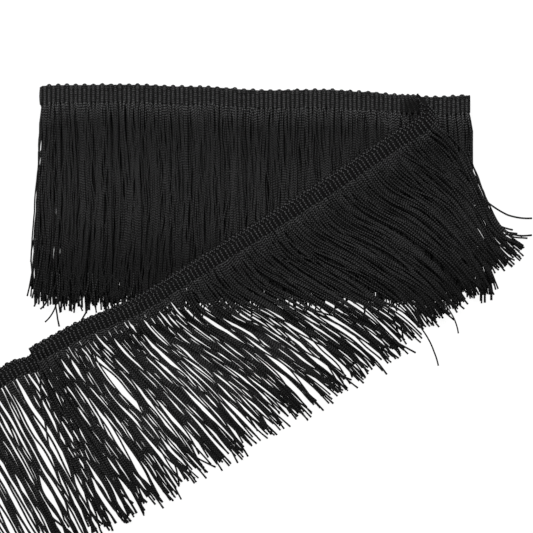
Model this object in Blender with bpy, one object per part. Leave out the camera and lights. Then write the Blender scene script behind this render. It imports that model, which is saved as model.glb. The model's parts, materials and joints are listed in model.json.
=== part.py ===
"""Black tassel fringe trim: a ribbed heading with a fringe of cut cords.

The heading is one ribbon. It is folded back and forth into a stack of five
layers, turns over at the stack's upper right, and lies as a loose tail across
the stack and down to the surface at the lower left. Sizes are in millimetres
here and in metres in the model. X runs along the stack, Y towards its headed
edge, Z up, and the origin is on the surface under the middle of the whole.
"""

import bmesh
import bpy
from math import cos, pi, radians, sin
from mathutils import Vector

# The trim as it is made
MM = 0.001
HEADING_WIDTH = 13.0
HEADING_HALF = 0.9          # half the heading's thickness, at a rib's crest
RIB_VALLEY = 0.45           # height above the middle between two ribs
RIB_PITCH = 3.17
LOOP_REACH = 0.7            # how far each second rib's edge loop stands out
CORD_HALF = 0.55            # half a cord's thickness
PART_GAP = 0.5              # between the heading and the fringe's root strip
STRIP_DEPTH = 1.2

# The way it is folded
LAYERS = 5
LAYER_PITCH = 2.2           # from one heading layer to the next
CORD_PITCH = 1.4            # from one layer of cords to the next
FOLD_RADIUS = LAYER_PITCH / 2
FOLD_STEPS = 5
HIDDEN_SKIP = 5             # a hidden layer has a section at each fifth one
STACK_LEFT = -133.6
STACK_RIGHT = 176.0
SETTLE = 14.0               # distance in which cords sink from heading to bed
TAIL_ON_STACK = 8.1         # middle of the tail's heading above the surface
SHIFT = Vector((-2.5, -3.4, 0.0))
CORD_LIFT = Vector((0.0, 0.0, CORD_HALF))

# The upper edge of the stacked headings, left to right
STACK_EDGE = (
    dict(x=-134, y=180.0),
    dict(x=-117, y=181.8),
    dict(x=-73, y=182.2),
    dict(x=-22, y=180.0),
    dict(x=30, y=177.2),
    dict(x=73, y=177.2),
    dict(x=99, y=175.7),
    dict(x=125, y=173.5),
    dict(x=151, y=172.8),
    dict(x=176, y=174.0),
)

# Each stacked layer, bottom to top: its cords' number, width and length,
# where along the stack its last cord is, and how far its heading is set back
LAYER_CORDS = (
    dict(count=20, width=6.2, length=131, last=171, back=0.5),
    dict(count=20, width=6.2, length=133, last=171, back=1.1),
    dict(count=20, width=6.2, length=131, last=171, back=0.2),
    dict(count=26, width=5.2, length=132, last=171, back=0.7),
    dict(count=44, width=3.4, length=132, last=131, back=0.0),
)

# How the stack's cords drift sideways: at half their length and at their tip
STACK_DRIFT = (
    dict(x=-134, half=-1.0, tip=-7.5, length=1.01),
    dict(x=-118, half=0.6, tip=-1.5, length=1.06),
    dict(x=-70, half=1.4, tip=-0.8, length=1.04),
    dict(x=0, half=1.2, tip=0.6, length=1.04),
    dict(x=80, half=0.8, tip=0.4, length=1.02),
    dict(x=140, half=0.6, tip=3.0, length=1.0),
    dict(x=176, half=2.0, tip=9.0, length=0.97),
)

# The tail's upper edge from the turned corner to the tuck: where it is, the
# way across the heading in degrees, its seen width, and its middle's height
TAIL_UPPER = (
    dict(x=136.5, y=173.2, across=-46.0, width=18.1, z=11.9),
    dict(x=138.6, y=166.0, across=-47.0, width=15.2, z=12.0),
    dict(x=139.2, y=160.0, across=-51.0, width=13.2, z=12.0),
    dict(x=134.0, y=154.8, across=-56.0, width=13.0, z=11.0),
    dict(x=125.3, y=150.1, across=-57.0, width=13.0, z=9.6),
    dict(x=111.9, y=141.4, across=-57.5, width=13.0, z=8.4),
    dict(x=92.9, y=128.4, across=-56.5, width=13.0, z=TAIL_ON_STACK),
    dict(x=45.6, y=97.6, across=-56.5, width=13.0, z=TAIL_ON_STACK),
    dict(x=-7.9, y=64.3, across=-58.0, width=13.0, z=TAIL_ON_STACK),
    dict(x=-38.9, y=44.6, across=-59.0, width=13.0, z=TAIL_ON_STACK),
    dict(x=-68.5, y=27.1, across=-63.0, width=13.0, z=TAIL_ON_STACK),
    dict(x=-104.6, y=11.7, across=-63.0, width=13.0, z=5.6),
    dict(x=-126.0, y=0.6, across=-61.0, width=13.0, z=5.3),
    dict(x=-141.0, y=-7.6, across=-61.0, width=13.0, z=5.3),
)
TUCK_BACK = (
    dict(x=-141.0, y=-7.6, across=-61.0, width=13.0, z=3.1),
    dict(x=-129.4, y=-4.5, across=-61.0, width=13.0, z=3.1),
)
TAIL_LOWER = (
    dict(x=-129.4, y=-4.5, across=-61.0, width=13.0, z=0.9),
    dict(x=-143.3, y=-14.2, across=-60.0, width=13.0, z=0.9),
    dict(x=-151.6, y=-16.4, across=-60.0, width=13.0, z=0.9),
    dict(x=-162.7, y=-22.1, across=-59.5, width=13.0, z=0.9),
    dict(x=-214.6, y=-54.7, across=-58.5, width=13.0, z=0.9),
)

# How the tail's cords lie, by how far along the root line from the corner:
# the way they leave the heading and the way they end, in degrees below +X,
# and their length
TAIL_FLOW = (
    dict(x=0, leave=8, end=62, length=106),
    dict(x=6, leave=20, end=66, length=116),
    dict(x=22, leave=36, end=57, length=120),
    dict(x=40, leave=46, end=52, length=121),
    dict(x=64, leave=53, end=46, length=122),
    dict(x=90, leave=56, end=40, length=126),
    dict(x=120, leave=57, end=34, length=128),
    dict(x=160, leave=57, end=27, length=134),
    dict(x=205, leave=57, end=31, length=132),
    dict(x=245, leave=57, end=34, length=128),
    dict(x=280, leave=58, end=44, length=127),
    dict(x=310, leave=58, end=51, length=131),
    dict(x=336, leave=59, end=55, length=128),
    dict(x=362, leave=60, end=57, length=125),
    dict(x=400, leave=60, end=59, length=124),
)
TUCK_REACH = 345            # where the lower stretch's cords start in that table
TAIL_COUNT = 72             # cords from the turned corner to the tuck
TAIL_END_COUNT = 18         # cords from the tuck to the free end
TAIL_CORD_WIDTH = 1.8
GATHER = 0.8                # degrees that a cord leans towards its lock's middle
CORNER_ROOM = 0.7           # how much further out the root strip is at the corner
CORNER_LENGTH = 24.0
TAIL_CORD_STEPS = 5
STACK_CORD_STEPS = 3
FIRST_CORD = -130.0         # along the stack
LAYER_SHIFT = 2.0           # cords of neighbouring layers start apart by this
LAST_CORD_ROOM = 4.0        # room kept for that shift
STRIP_PAST_FIRST = 0.8      # how far a root strip passes its first and last cords
STRIP_PAST_LAST = 2.5
CORD_TAPER = 0.3            # share of its width that a cord loses to its tip
LOCK_SIZE = 5               # tail cords in a lock
TAIL_BEND = 1.5             # a tail cord has bent fully before its tip
TAIL_SETTLE = 1.4           # times SETTLE, for the tail's cords

# How unevenly the cords are cut: the share of their length, and how fast it
# changes from cord to cord and from layer to layer
STACK_UNEVEN = dict(share=0.016, along=0.9, layer=2.0)
TAIL_UNEVEN = dict(share=0.02, along=2.3)

# Where the tail's two stretches of cords start and stop, from their ends
TAIL_ENDS = dict(first=2.0, last=2.0)
TAIL_END_ENDS = dict(first=5.0, last=0.0)

# The part of the surface that the stack's cords take up, and how far
# outside it the tail's cords come down
BED_LEFT = -150.0
BED_RIGHT = 186.0
BED_LOW = 9.0
BED_SLOPE = 19.0


def smooth(t):
    """Zero to one with level ends."""
    t = min(max(t, 0.0), 1.0)
    return t * t * (3.0 - 2.0 * t)


def read(rows, key, x):
    """A column of a table at x, eased from row to row."""
    rows = sorted(rows, key=lambda row: row["x"])
    if x <= rows[0]["x"]:
        return rows[0][key]
    for low, high in zip(rows, rows[1:]):
        if x <= high["x"]:
            t = (x - low["x"]) / (high["x"] - low["x"])
            return low[key] + (high[key] - low[key]) * smooth(t)
    return rows[-1][key]


def through(rows, step):
    """Rows every step along a smooth curve through a table's rows."""
    keys = ("x", "y", "across", "width", "z")
    found = []
    for i in range(len(rows) - 1):
        before = rows[max(i - 1, 0)]
        here = rows[i]
        after = rows[i + 1]
        later = rows[min(i + 2, len(rows) - 1)]
        reach = Vector((after["x"] - here["x"], after["y"] - here["y"])).length
        count = max(1, round(reach / step))
        for j in range(count):
            t = j / count
            row = {}
            for key in keys:
                a, b, c, d = (r[key] for r in (before, here, after, later))
                bend = 2 * b + (c - a) * t + (2 * a - 5 * b + 4 * c - d) * t**2
                row[key] = (bend + (3 * b - a - 3 * c + d) * t**3) / 2
            found.append(row)
    found.append(dict(rows[-1]))
    return found


def turn(degrees):
    return Vector((cos(radians(degrees)), sin(radians(degrees)), 0.0))


class Ribbon:
    """The heading, laid as cross sections one after another."""

    def __init__(self):
        self.sections = []
        self.ribs = 0

    def lay(self, edge, across, width, side, ribbed, normal=None):
        """One cross section. side is 1 where the trim's front looks up."""
        normal = normal or Vector((0.0, 0.0, side))
        up = HEADING_HALF
        loop = 0.0
        if ribbed:
            self.ribs += 1
            if self.ribs % 2:
                up = RIB_VALLEY
            elif self.ribs % 4:
                loop = LOOP_REACH
        front, rear = (up, HEADING_HALF) if side > 0 else (HEADING_HALF, up)
        upper = edge - across * loop
        lower = edge + across * width
        self.sections.append((
            upper + normal * front,
            lower + normal * front,
            lower - normal * rear,
            upper - normal * rear,
        ))

    def fold(self, edge, across, width, side, ahead, rise):
        """Half a turn about the line across the heading, up or down."""
        for step in range(1, FOLD_STEPS):
            angle = pi * step / FOLD_STEPS
            lift = Vector((0.0, 0.0, rise * FOLD_RADIUS * (1 - cos(angle))))
            shift = ahead * (FOLD_RADIUS * sin(angle)) + lift
            up = Vector((0.0, 0.0, cos(angle)))
            normal = (up - ahead * (rise * sin(angle))) * side
            self.lay(edge + shift, across, width, side, False, normal)

    def mesh(self):
        shape = bmesh.new()
        rings = [[shape.verts.new(p) for p in ring] for ring in self.sections]
        for ring, following in zip(rings, rings[1:]):
            for i in range(4):
                j = (i + 1) % 4
                shape.faces.new((ring[i], ring[j], following[j], following[i]))
        shape.faces.new(rings[0])
        shape.faces.new(rings[-1])
        return shape


def layer_height(layer):
    return HEADING_HALF + LAYER_PITCH * layer


def stack_edge(x, layer):
    y = read(STACK_EDGE, "y", x) - LAYER_CORDS[layer]["back"]
    return Vector((x, y, layer_height(layer)))


def heading_shape():
    """The whole heading: five stacked layers, the turned corner, the tail."""
    ribbon = Ribbon()
    down = Vector((0.0, -1.0, 0.0))
    inset = FOLD_RADIUS + HEADING_HALF
    left = STACK_LEFT + inset
    right = STACK_RIGHT - inset
    corner = TAIL_UPPER[0]["x"]
    for layer in range(LAYERS):
        top = layer == LAYERS - 1
        side = 1 if layer % 2 == 0 else -1
        start, stop = (left, right) if side > 0 else (right, left)
        if top:
            stop = corner
        rib_step = RIB_PITCH / 2
        count = round(abs(stop - start) / rib_step)
        for i in range(count + 1):
            x = start + (stop - start) * i / count
            seen = top or (layer == LAYERS - 2 and x > corner)
            if not seen and i % HIDDEN_SKIP and i != count:
                continue
            across = down
            width = HEADING_WIDTH
            if top:
                lean = smooth(1 - (corner - x) / HEADING_WIDTH)
                angle = -90.0 + (90.0 + TAIL_UPPER[0]["across"]) * lean
                across = turn(angle)
                width = HEADING_WIDTH / -sin(radians(angle))
            ribbon.lay(stack_edge(x, layer), across, width, side, seen)
        if not top:
            ahead = Vector((float(side), 0.0, 0.0))
            edge = stack_edge(stop, layer)
            ribbon.fold(edge, down, HEADING_WIDTH, side, ahead, 1)

    # The corner turns over about a slanting line, and its back looks up
    corner_across = turn(TAIL_UPPER[0]["across"])
    ahead = turn(TAIL_UPPER[0]["across"] + 90.0)
    edge = stack_edge(corner, LAYERS - 1)
    ribbon.fold(edge, corner_across, width, 1, ahead, 1)
    for row in through(TAIL_UPPER, RIB_PITCH / 2):
        lay_row(ribbon, row, -1, True)
    fold_row(ribbon, TAIL_UPPER[-1], -1, -1)
    for row in TUCK_BACK:
        lay_row(ribbon, row, 1, False)
    fold_row(ribbon, TUCK_BACK[-1], 1, 1)
    for row in through(TAIL_LOWER, RIB_PITCH / 2):
        lay_row(ribbon, row, -1, row["x"] < TUCK_BACK[0]["x"])
    return ribbon.mesh()


def edge_of(row):
    return Vector((row["x"], row["y"], row["z"]))


def lay_row(ribbon, row, side, ribbed):
    ribbon.lay(edge_of(row), turn(row["across"]), row["width"], side, ribbed)


def fold_row(ribbon, row, side, hand):
    """A downward fold of the tuck, out to the upper right where hand is 1."""
    across = turn(row["across"])
    ahead = turn(row["across"] + 90.0) * hand
    ribbon.fold(edge_of(row), across, row["width"], side, ahead, -1)


def bed_height(point):
    """The middle of a tail cord lying on the stack or on the surface."""
    aside = max(point.x - BED_RIGHT, BED_LEFT - point.x, 0.0)
    below = max(BED_LOW - point.y, 0.0)
    out = Vector((aside, below)).length
    on_stack = CORD_HALF + CORD_PITCH * LAYERS
    return CORD_HALF + (on_stack - CORD_HALF) * (1.0 - smooth(out / BED_SLOPE))


class Cord:
    """A cord's line: its points, and its width at each."""

    def __init__(self, root, across, width):
        self.root = root
        self.across = across
        self.width = width
        self.points = []


def stack_cord(root, layer, width, length):
    """A stacked layer's cord hangs straight down the page, nearly."""
    cord = Cord(root, Vector((0.0, -1.0, 0.0)), width)
    bed = CORD_HALF + CORD_PITCH * layer
    half = read(STACK_DRIFT, "half", root.x)
    tip = read(STACK_DRIFT, "tip", root.x)
    length *= read(STACK_DRIFT, "length", root.x)
    uneven = STACK_UNEVEN
    length *= 1.0 + uneven["share"] * sin(root.x * uneven["along"] + layer * uneven["layer"])
    stops = [SETTLE * 0.5, SETTLE]
    stops += [length * (i + 1) / STACK_CORD_STEPS for i in range(1, STACK_CORD_STEPS)]
    for reach in stops:
        part = reach / length
        drift = half * smooth(min(part * 2, 1)) + (tip - half) * smooth(part * 2 - 1)
        z = bed + (root.z - bed) * (1.0 - smooth(reach / SETTLE))
        cord.points.append(Vector((root.x + drift, root.y - reach, z)))
    return cord


def tail_cord(root, across, width, number, reach):
    """A tail cord leaves the heading squarely and bends with the others."""
    cord = Cord(root, across, width)
    leave = read(TAIL_FLOW, "leave", reach)
    end = read(TAIL_FLOW, "end", reach)
    length = read(TAIL_FLOW, "length", reach)
    length *= 1.0 + TAIL_UNEVEN["share"] * sin(number * TAIL_UNEVEN["along"])
    # Cords gather in locks, drawn to the middle one
    gather = -GATHER * (number % LOCK_SIZE - LOCK_SIZE // 2)
    steps = TAIL_CORD_STEPS * 4
    point = root.copy()
    for i in range(1, steps + 1):
        part = i / steps
        sway = gather * sin(pi * part * 2.0) if part < 0.5 else 0.0
        angle = -(leave + (end - leave) * smooth(part * TAIL_BEND) + sway)
        point = point + turn(angle) * (length / steps)
        if i % 4 and i != 2:
            continue
        settled = smooth(part * length / (SETTLE * TAIL_SETTLE))
        bed = bed_height(point)
        z = bed + max(root.z - bed, 0.0) * (1.0 - settled)
        cord.points.append(Vector((point.x, point.y, z)))
    return cord


def fringe_shape(cords, ends):
    """Cords of three sides, rooted in the front of a narrow strip."""
    shape = bmesh.new()

    def strip_section(point, across):
        rear = shape.verts.new(point - across * STRIP_DEPTH)
        upper = shape.verts.new(point + CORD_LIFT)
        lower = shape.verts.new(point - CORD_LIFT)
        return rear, upper, lower

    def join(a, b, front):
        shape.faces.new((a[0], b[0], b[1], a[1]))
        shape.faces.new((a[0], a[2], b[2], b[0]))
        if front:
            shape.faces.new((a[1], b[1], b[2], a[2]))

    sections = [strip_section(*ends[0])]
    for cord in cords:
        along = Vector((-cord.across.y, cord.across.x, 0.0))
        if along.dot(ends[1][0] - ends[0][0]) < 0:
            along = -along
        near = strip_section(cord.root - along * (cord.width / 2), cord.across)
        far = strip_section(cord.root + along * (cord.width / 2), cord.across)
        join(sections[-1], near, True)
        join(near, far, False)
        sections.append(far)
        grow_cord(shape, cord, along, near, far)
    last = strip_section(*ends[1])
    join(sections[-1], last, True)
    shape.faces.new(sections[0])
    shape.faces.new(last)
    return shape


def grow_cord(shape, cord, along, near, far):
    """The cord itself, from its two root sections to its cut tip."""
    route = [cord.root] + cord.points
    ring = None
    for i in range(1, len(route)):
        here = route[i]
        following = route[min(i + 1, len(route) - 1)]
        way = following - route[i - 1]
        way.z = 0.0
        way.normalize()
        side = Vector((-way.y, way.x, 0.0))
        if side.dot(along) < 0:
            side = -side
        half = cord.width / 2 * (1.0 - CORD_TAPER * i / (len(route) - 1))
        one = shape.verts.new(here - side * half - CORD_LIFT)
        two = shape.verts.new(here + side * half - CORD_LIFT)
        crest = shape.verts.new(here + CORD_LIFT)
        if ring is None:
            shape.faces.new((near[2], far[2], two, one))
            shape.faces.new((near[1], near[2], one, crest))
            shape.faces.new((far[1], far[2], two, crest))
            shape.faces.new((near[1], far[1], crest))
        else:
            shape.faces.new((ring[0], ring[1], two, one))
            shape.faces.new((ring[0], one, crest, ring[2]))
            shape.faces.new((ring[1], ring[2], crest, two))
        ring = (one, two, crest)
    shape.faces.new(ring)


def root_height(heading_middle):
    """A root strip's middle: its underside is level with the heading's."""
    return heading_middle - HEADING_HALF + CORD_HALF


def strip_front(width):
    """From the heading's upper edge to the front of the root strip."""
    return width + PART_GAP + STRIP_DEPTH


def layer_fringe(layer):
    spec = LAYER_CORDS[layer]
    down = Vector((0.0, -1.0, 0.0))
    z = root_height(layer_height(layer))

    def root_at(x):
        edge = stack_edge(x, layer)
        return Vector((x, edge.y - strip_front(HEADING_WIDTH), z))

    cords = []
    for i in range(spec["count"]):
        offset = (layer % 3) * LAYER_SHIFT
        spread = spec["last"] - FIRST_CORD - spec["width"] - LAST_CORD_ROOM
        x = FIRST_CORD + spec["width"] / 2 + offset + spread * i / (spec["count"] - 1)
        cords.append(stack_cord(root_at(x), layer, spec["width"], spec["length"]))
    first = root_at(FIRST_CORD - STRIP_PAST_FIRST)
    last = root_at(spec["last"] + STRIP_PAST_LAST)
    ends = ((first, down), (last, down))
    return fringe_shape(cords, ends)


def tail_fringe(rows, count, ends, flow_start):
    """Cords at even steps along a stretch of the tail."""
    fine = through(rows, RIB_PITCH / 4)
    width = TAIL_CORD_WIDTH
    line = []
    for i, row in enumerate(fine):
        across = turn(row["across"])
        near_corner = 0.0 if flow_start else smooth(1 - i * RIB_PITCH / 4 / CORNER_LENGTH)
        out = strip_front(row["width"]) + CORNER_ROOM * near_corner
        point = edge_of(row) + across * out
        point.z = root_height(row["z"])
        line.append((point, across))
    lengths = [0.0]
    for (a, _), (b, _) in zip(line, line[1:]):
        lengths.append(lengths[-1] + (b - a).length)

    def at(distance):
        for i in range(1, len(line)):
            if lengths[i] >= distance:
                t = (distance - lengths[i - 1]) / max(lengths[i] - lengths[i - 1], 1e-9)
                point = line[i - 1][0].lerp(line[i][0], t)
                across = line[i - 1][1].lerp(line[i][1], t).normalized()
                return point, across
        return line[-1]

    start = ends["first"]
    stop = lengths[-1] - ends["last"]
    cords = []
    for i in range(count):
        reach = start + width + (stop - start - 2 * width) * i / (count - 1)
        root, across = at(reach)
        cords.append(tail_cord(root, across, width, i, flow_start + reach))
    return fringe_shape(cords, (at(start), at(stop)))


def material(name, colour, roughness):
    made = bpy.data.materials.new(name)
    made.use_nodes = True
    shader = made.node_tree.nodes["Principled BSDF"]
    shader.inputs["Base Color"].default_value = (*colour, 1.0)
    shader.inputs["Roughness"].default_value = roughness
    shader.inputs["Metallic"].default_value = 0.0
    return made


def add_object(name, shape, finish):
    for vertex in shape.verts:
        vertex.co = (vertex.co + SHIFT) * MM
    bmesh.ops.recalc_face_normals(shape, faces=shape.faces)
    mesh = bpy.data.meshes.new(name)
    shape.to_mesh(mesh)
    shape.free()
    mesh.materials.append(finish)
    made = bpy.data.objects.new(name, mesh)
    bpy.context.scene.collection.objects.link(made)
    return made


def build():
    for old in list(bpy.data.objects):
        bpy.data.objects.remove(old, do_unlink=True)
    gimp = material("heading_yarn", (0.020, 0.020, 0.021), 0.62)
    cord = material("fringe_cord", (0.012, 0.012, 0.013), 0.50)
    add_object("heading", heading_shape(), gimp)
    for layer in range(LAYERS):
        add_object(f"fringe_layer_{layer + 1}", layer_fringe(layer), cord)
    upper = tail_fringe(TAIL_UPPER, TAIL_COUNT, TAIL_ENDS, 0.0)
    add_object("fringe_tail", upper, cord)
    lower = tail_fringe(TAIL_LOWER[1:], TAIL_END_COUNT, TAIL_END_ENDS, TUCK_REACH)
    add_object("fringe_tail_end", lower, cord)


build()
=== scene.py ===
import json
import math
import bmesh
import bpy
import numpy as np
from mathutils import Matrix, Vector

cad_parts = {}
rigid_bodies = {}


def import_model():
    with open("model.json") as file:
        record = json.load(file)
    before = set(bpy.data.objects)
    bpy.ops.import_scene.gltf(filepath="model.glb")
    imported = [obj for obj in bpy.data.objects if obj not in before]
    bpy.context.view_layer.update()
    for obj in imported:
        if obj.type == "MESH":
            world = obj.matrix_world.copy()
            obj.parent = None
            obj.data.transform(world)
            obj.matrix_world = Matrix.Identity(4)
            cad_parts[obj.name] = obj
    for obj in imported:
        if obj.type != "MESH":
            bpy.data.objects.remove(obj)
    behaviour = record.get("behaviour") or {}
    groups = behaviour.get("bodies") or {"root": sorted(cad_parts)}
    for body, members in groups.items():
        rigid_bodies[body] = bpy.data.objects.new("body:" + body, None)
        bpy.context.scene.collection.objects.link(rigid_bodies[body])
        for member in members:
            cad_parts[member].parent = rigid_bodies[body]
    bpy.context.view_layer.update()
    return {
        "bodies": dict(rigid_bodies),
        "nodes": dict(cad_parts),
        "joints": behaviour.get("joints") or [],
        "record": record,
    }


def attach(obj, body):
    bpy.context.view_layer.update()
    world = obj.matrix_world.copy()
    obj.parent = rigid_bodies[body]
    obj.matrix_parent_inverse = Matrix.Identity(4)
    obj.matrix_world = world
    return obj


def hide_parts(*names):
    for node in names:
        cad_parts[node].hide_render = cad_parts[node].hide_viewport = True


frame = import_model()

print("frame loaded")

# Where the cords run. Lengths here are millimetres on the plan of the part's own source.
mm = 0.001
planShift = (-2.5, -3.4)                   # from the plan to the model's own middle

trim = {
    "headingWidth": 13.0,
    "headingHalf": 0.9,
    "layerPitch": 2.2,                     # between the stack's headings
    "layers": 5,
    "ribPitch": 3.17,
    "cordRadius": 0.6,
    "stackLeft": -133.6,
    "stackRight": 176.0,
}

stackEdge = (                              # upper edge of the stacked headings
    {"x": -134, "y": 180.0},
    {"x": -117, "y": 180.6},
    {"x": -73, "y": 180.9},
    {"x": -22, "y": 179.4},
    {"x": 30, "y": 176.8},
    {"x": 73, "y": 177.2},
    {"x": 99, "y": 175.7},
    {"x": 125, "y": 173.5},
    {"x": 151, "y": 172.8},
    {"x": 176, "y": 174.0},
)
layerBack = (0.5, 1.1, 0.2, 0.7, 0.0)      # how far each layer is set back, bottom to top
layerLoose = (0.03, 0.5, 1.0, 1.0, 1.0)    # how loosely each layer's cords hang

tailUpper = (                              # upper edge of the turned tail
    {"x": 136.5, "y": 173.2, "across": -46.0, "width": 18.1, "z": 11.9},
    {"x": 138.6, "y": 166.0, "across": -47.0, "width": 15.2, "z": 12.0},
    {"x": 139.2, "y": 160.0, "across": -51.0, "width": 13.2, "z": 12.0},
    {"x": 134.0, "y": 154.8, "across": -56.0, "width": 13.0, "z": 11.0},
    {"x": 125.3, "y": 150.1, "across": -57.0, "width": 13.0, "z": 9.6},
    {"x": 111.9, "y": 141.4, "across": -57.5, "width": 13.0, "z": 8.4},
    {"x": 92.9, "y": 128.4, "across": -56.5, "width": 13.0, "z": 8.1},
    {"x": 45.6, "y": 97.6, "across": -56.5, "width": 13.0, "z": 8.1},
    {"x": -7.9, "y": 64.3, "across": -58.0, "width": 13.0, "z": 8.1},
    {"x": -38.9, "y": 44.6, "across": -59.0, "width": 13.0, "z": 8.1},
    {"x": -68.5, "y": 27.1, "across": -63.0, "width": 13.0, "z": 8.1},
    {"x": -104.6, "y": 11.7, "across": -63.0, "width": 13.0, "z": 5.6},
    {"x": -126.0, "y": 0.6, "across": -61.0, "width": 13.0, "z": 5.3},
    {"x": -141.0, "y": -7.6, "across": -61.0, "width": 13.0, "z": 5.3},
)
tuckBack = (
    {"x": -141.0, "y": -7.6, "across": -61.0, "width": 13.0, "z": 3.1},
    {"x": -129.4, "y": -4.5, "across": -61.0, "width": 13.0, "z": 3.1},
)
tailLower = (
    {"x": -129.4, "y": -4.5, "across": -61.0, "width": 13.0, "z": 0.9},
    {"x": -143.3, "y": -14.2, "across": -60.0, "width": 13.0, "z": 0.9},
    {"x": -151.6, "y": -16.4, "across": -60.0, "width": 13.0, "z": 0.9},
    {"x": -162.7, "y": -22.1, "across": -59.5, "width": 13.0, "z": 0.9},
    {"x": -214.6, "y": -54.7, "across": -58.5, "width": 13.0, "z": 0.9},
)

# How the tail's cords bend, by their root's distance from the turned corner: degrees
# below the plan's right at the heading, at a third, at two thirds and at the tip
tailFlow = (
    {"x": 7, "leave": 34, "early": 62, "late": 72, "tip": 10, "length": 112},
    {"x": 13, "leave": 36, "early": 55, "late": 69, "tip": 22, "length": 112},
    {"x": 22, "leave": 43, "early": 46, "late": 61, "tip": 36, "length": 112},
    {"x": 40, "leave": 48, "early": 37, "late": 54, "tip": 53, "length": 112},
    {"x": 64, "leave": 54, "early": 27, "late": 46, "tip": 60, "length": 118},
    {"x": 90, "leave": 57, "early": 26, "late": 40, "tip": 56, "length": 121},
    {"x": 120, "leave": 57, "early": 27, "late": 35, "tip": 53, "length": 125},
    {"x": 160, "leave": 57, "early": 29, "late": 32, "tip": 47, "length": 131},
    {"x": 205, "leave": 57, "early": 31, "late": 35, "tip": 46, "length": 130},
    {"x": 245, "leave": 57, "early": 36, "late": 40, "tip": 48, "length": 127},
    {"x": 280, "leave": 57, "early": 44, "late": 47, "tip": 51, "length": 127},
    {"x": 310, "leave": 58, "early": 50, "late": 51, "tip": 53, "length": 130},
    {"x": 336, "leave": 58, "early": 57, "late": 57, "tip": 57, "length": 129},
    {"x": 362, "leave": 59, "early": 60, "late": 60, "tip": 59, "length": 126},
    {"x": 440, "leave": 59, "early": 60, "late": 60, "tip": 59, "length": 124},
)

# How the stacked cords drift sideways: soon after the root, by half their length and at the tip
stackDrift = (
    {"x": -134, "start": -1.4, "half": -4.0, "tip": -8.0, "length": 136},
    {"x": -126, "start": 0.0, "half": -1.4, "tip": -5.0, "length": 140},
    {"x": -116, "start": 0.0, "half": 1.2, "tip": -2.0, "length": 142},
    {"x": -70, "start": 0.0, "half": 2.4, "tip": -0.8, "length": 142},
    {"x": 0, "start": 0.0, "half": 1.6, "tip": 0.6, "length": 139},
    {"x": 80, "start": 0.0, "half": 1.0, "tip": 0.4, "length": 135},
    {"x": 140, "start": 0.0, "half": 0.8, "tip": 5.0, "length": 133},
    {"x": 160, "start": 0.4, "half": 1.2, "tip": 8.0, "length": 131},
    {"x": 176, "start": 2.6, "half": 2.0, "tip": 16.0, "length": 128},
)

# White gaps that show in the tail's fringe: both ends on the plan and the half width
tailGaps = (
    {"x0": -95.0, "y0": -12.2, "x1": -62.6, "y1": -52.6, "half": 3.0},
    {"x0": -103.7, "y0": -22.3, "x1": -87.8, "y1": -42.5, "half": 1.6},
    {"x0": -108.7, "y0": -37.4, "x1": -74.9, "y1": -73.4, "half": 2.2},
    {"x0": -92.9, "y0": -59.8, "x1": -56.2, "y1": -103.7, "half": 2.0},
    {"x0": -118.8, "y0": -53.3, "x1": -100.1, "y1": -92.2, "half": 1.7},
    {"x0": -100.1, "y0": -90.0, "x1": -79.9, "y1": -125.3, "half": 2.0},
    {"x0": -137.5, "y0": -74.9, "x1": -121.7, "y1": -101.5, "half": 1.5},
    {"x0": -133.9, "y0": -101.5, "x1": -117.4, "y1": -130.3, "half": 1.7},
    {"x0": -18.7, "y0": 16.6, "x1": -0.7, "y1": 5.0, "half": 1.2},
    {"x0": 13.0, "y0": 20.2, "x1": 30.2, "y1": 11.5, "half": 0.9},
    {"x0": -7.2, "y0": -33.8, "x1": 13.0, "y1": -48.2, "half": 1.0},
    {"x0": 10.1, "y0": -36.0, "x1": 20.2, "y1": -46.1, "half": 0.8},
)


def smooth(t):
    t = min(max(t, 0.0), 1.0)
    return t * t * (3.0 - 2.0 * t)


def read(rows, key, x):                    # a table's column at x, eased from row to row
    if x <= rows[0]["x"]:
        return rows[0][key]
    for low, high in zip(rows, rows[1:]):
        if x <= high["x"]:
            t = (x - low["x"]) / (high["x"] - low["x"])
            return low[key] + (high[key] - low[key]) * smooth(t)
    return rows[-1][key]


def through(rows, step):                   # rows along a smooth curve through a table's rows
    keys = ("x", "y", "across", "width", "z")
    found = []
    for i in range(len(rows) - 1):
        before = rows[max(i - 1, 0)]
        here = rows[i]
        after = rows[i + 1]
        later = rows[min(i + 2, len(rows) - 1)]
        reach = math.hypot(after["x"] - here["x"], after["y"] - here["y"])
        count = max(1, round(reach / step))
        for j in range(count):
            t = j / count
            row = {}
            for key in keys:
                a, b, c, d = (r[key] for r in (before, here, after, later))
                bend = 2 * b + (c - a) * t + (2 * a - 5 * b + 4 * c - d) * t**2
                row[key] = (bend + (3 * b - a - 3 * c + d) * t**3) / 2
            found.append(row)
    found.append(dict(rows[-1]))
    return found


def turn(degrees):
    return np.array((math.cos(math.radians(degrees)), math.sin(math.radians(degrees))))


class Ripples:                             # a smooth uneven field over the roots and along the cords
    def __init__(self, rng, rootWave, alongWave, count=9):
        self.root = 2 * np.pi / (rootWave * rng.uniform(0.6, 1.8, count)) * rng.choice((-1, 1), count)
        self.along = 2 * np.pi / (alongWave * rng.uniform(0.7, 1.9, count))
        self.phase = rng.uniform(0, 2 * np.pi, count)
        self.share = rng.uniform(0.5, 1.0, count) / math.sqrt(count / 2)

    def at(self, root, along):
        turns = self.root[:, None] * root + self.along[:, None] * along[None, :] + self.phase[:, None]
        return (np.sin(turns) * self.share[:, None]).sum(axis=0)


def ease(t):
    t = np.clip(t, 0.0, 1.0)
    return t * t * (3.0 - 2.0 * t)


def wander(points, sideways):              # moves a plan line's points sideways
    way = np.gradient(points, axis=0)
    way /= np.linalg.norm(way, axis=1)[:, None] + 1e-9
    side = np.stack((-way[:, 1], way[:, 0]), axis=1)
    return points + side * sideways[:, None]


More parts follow.
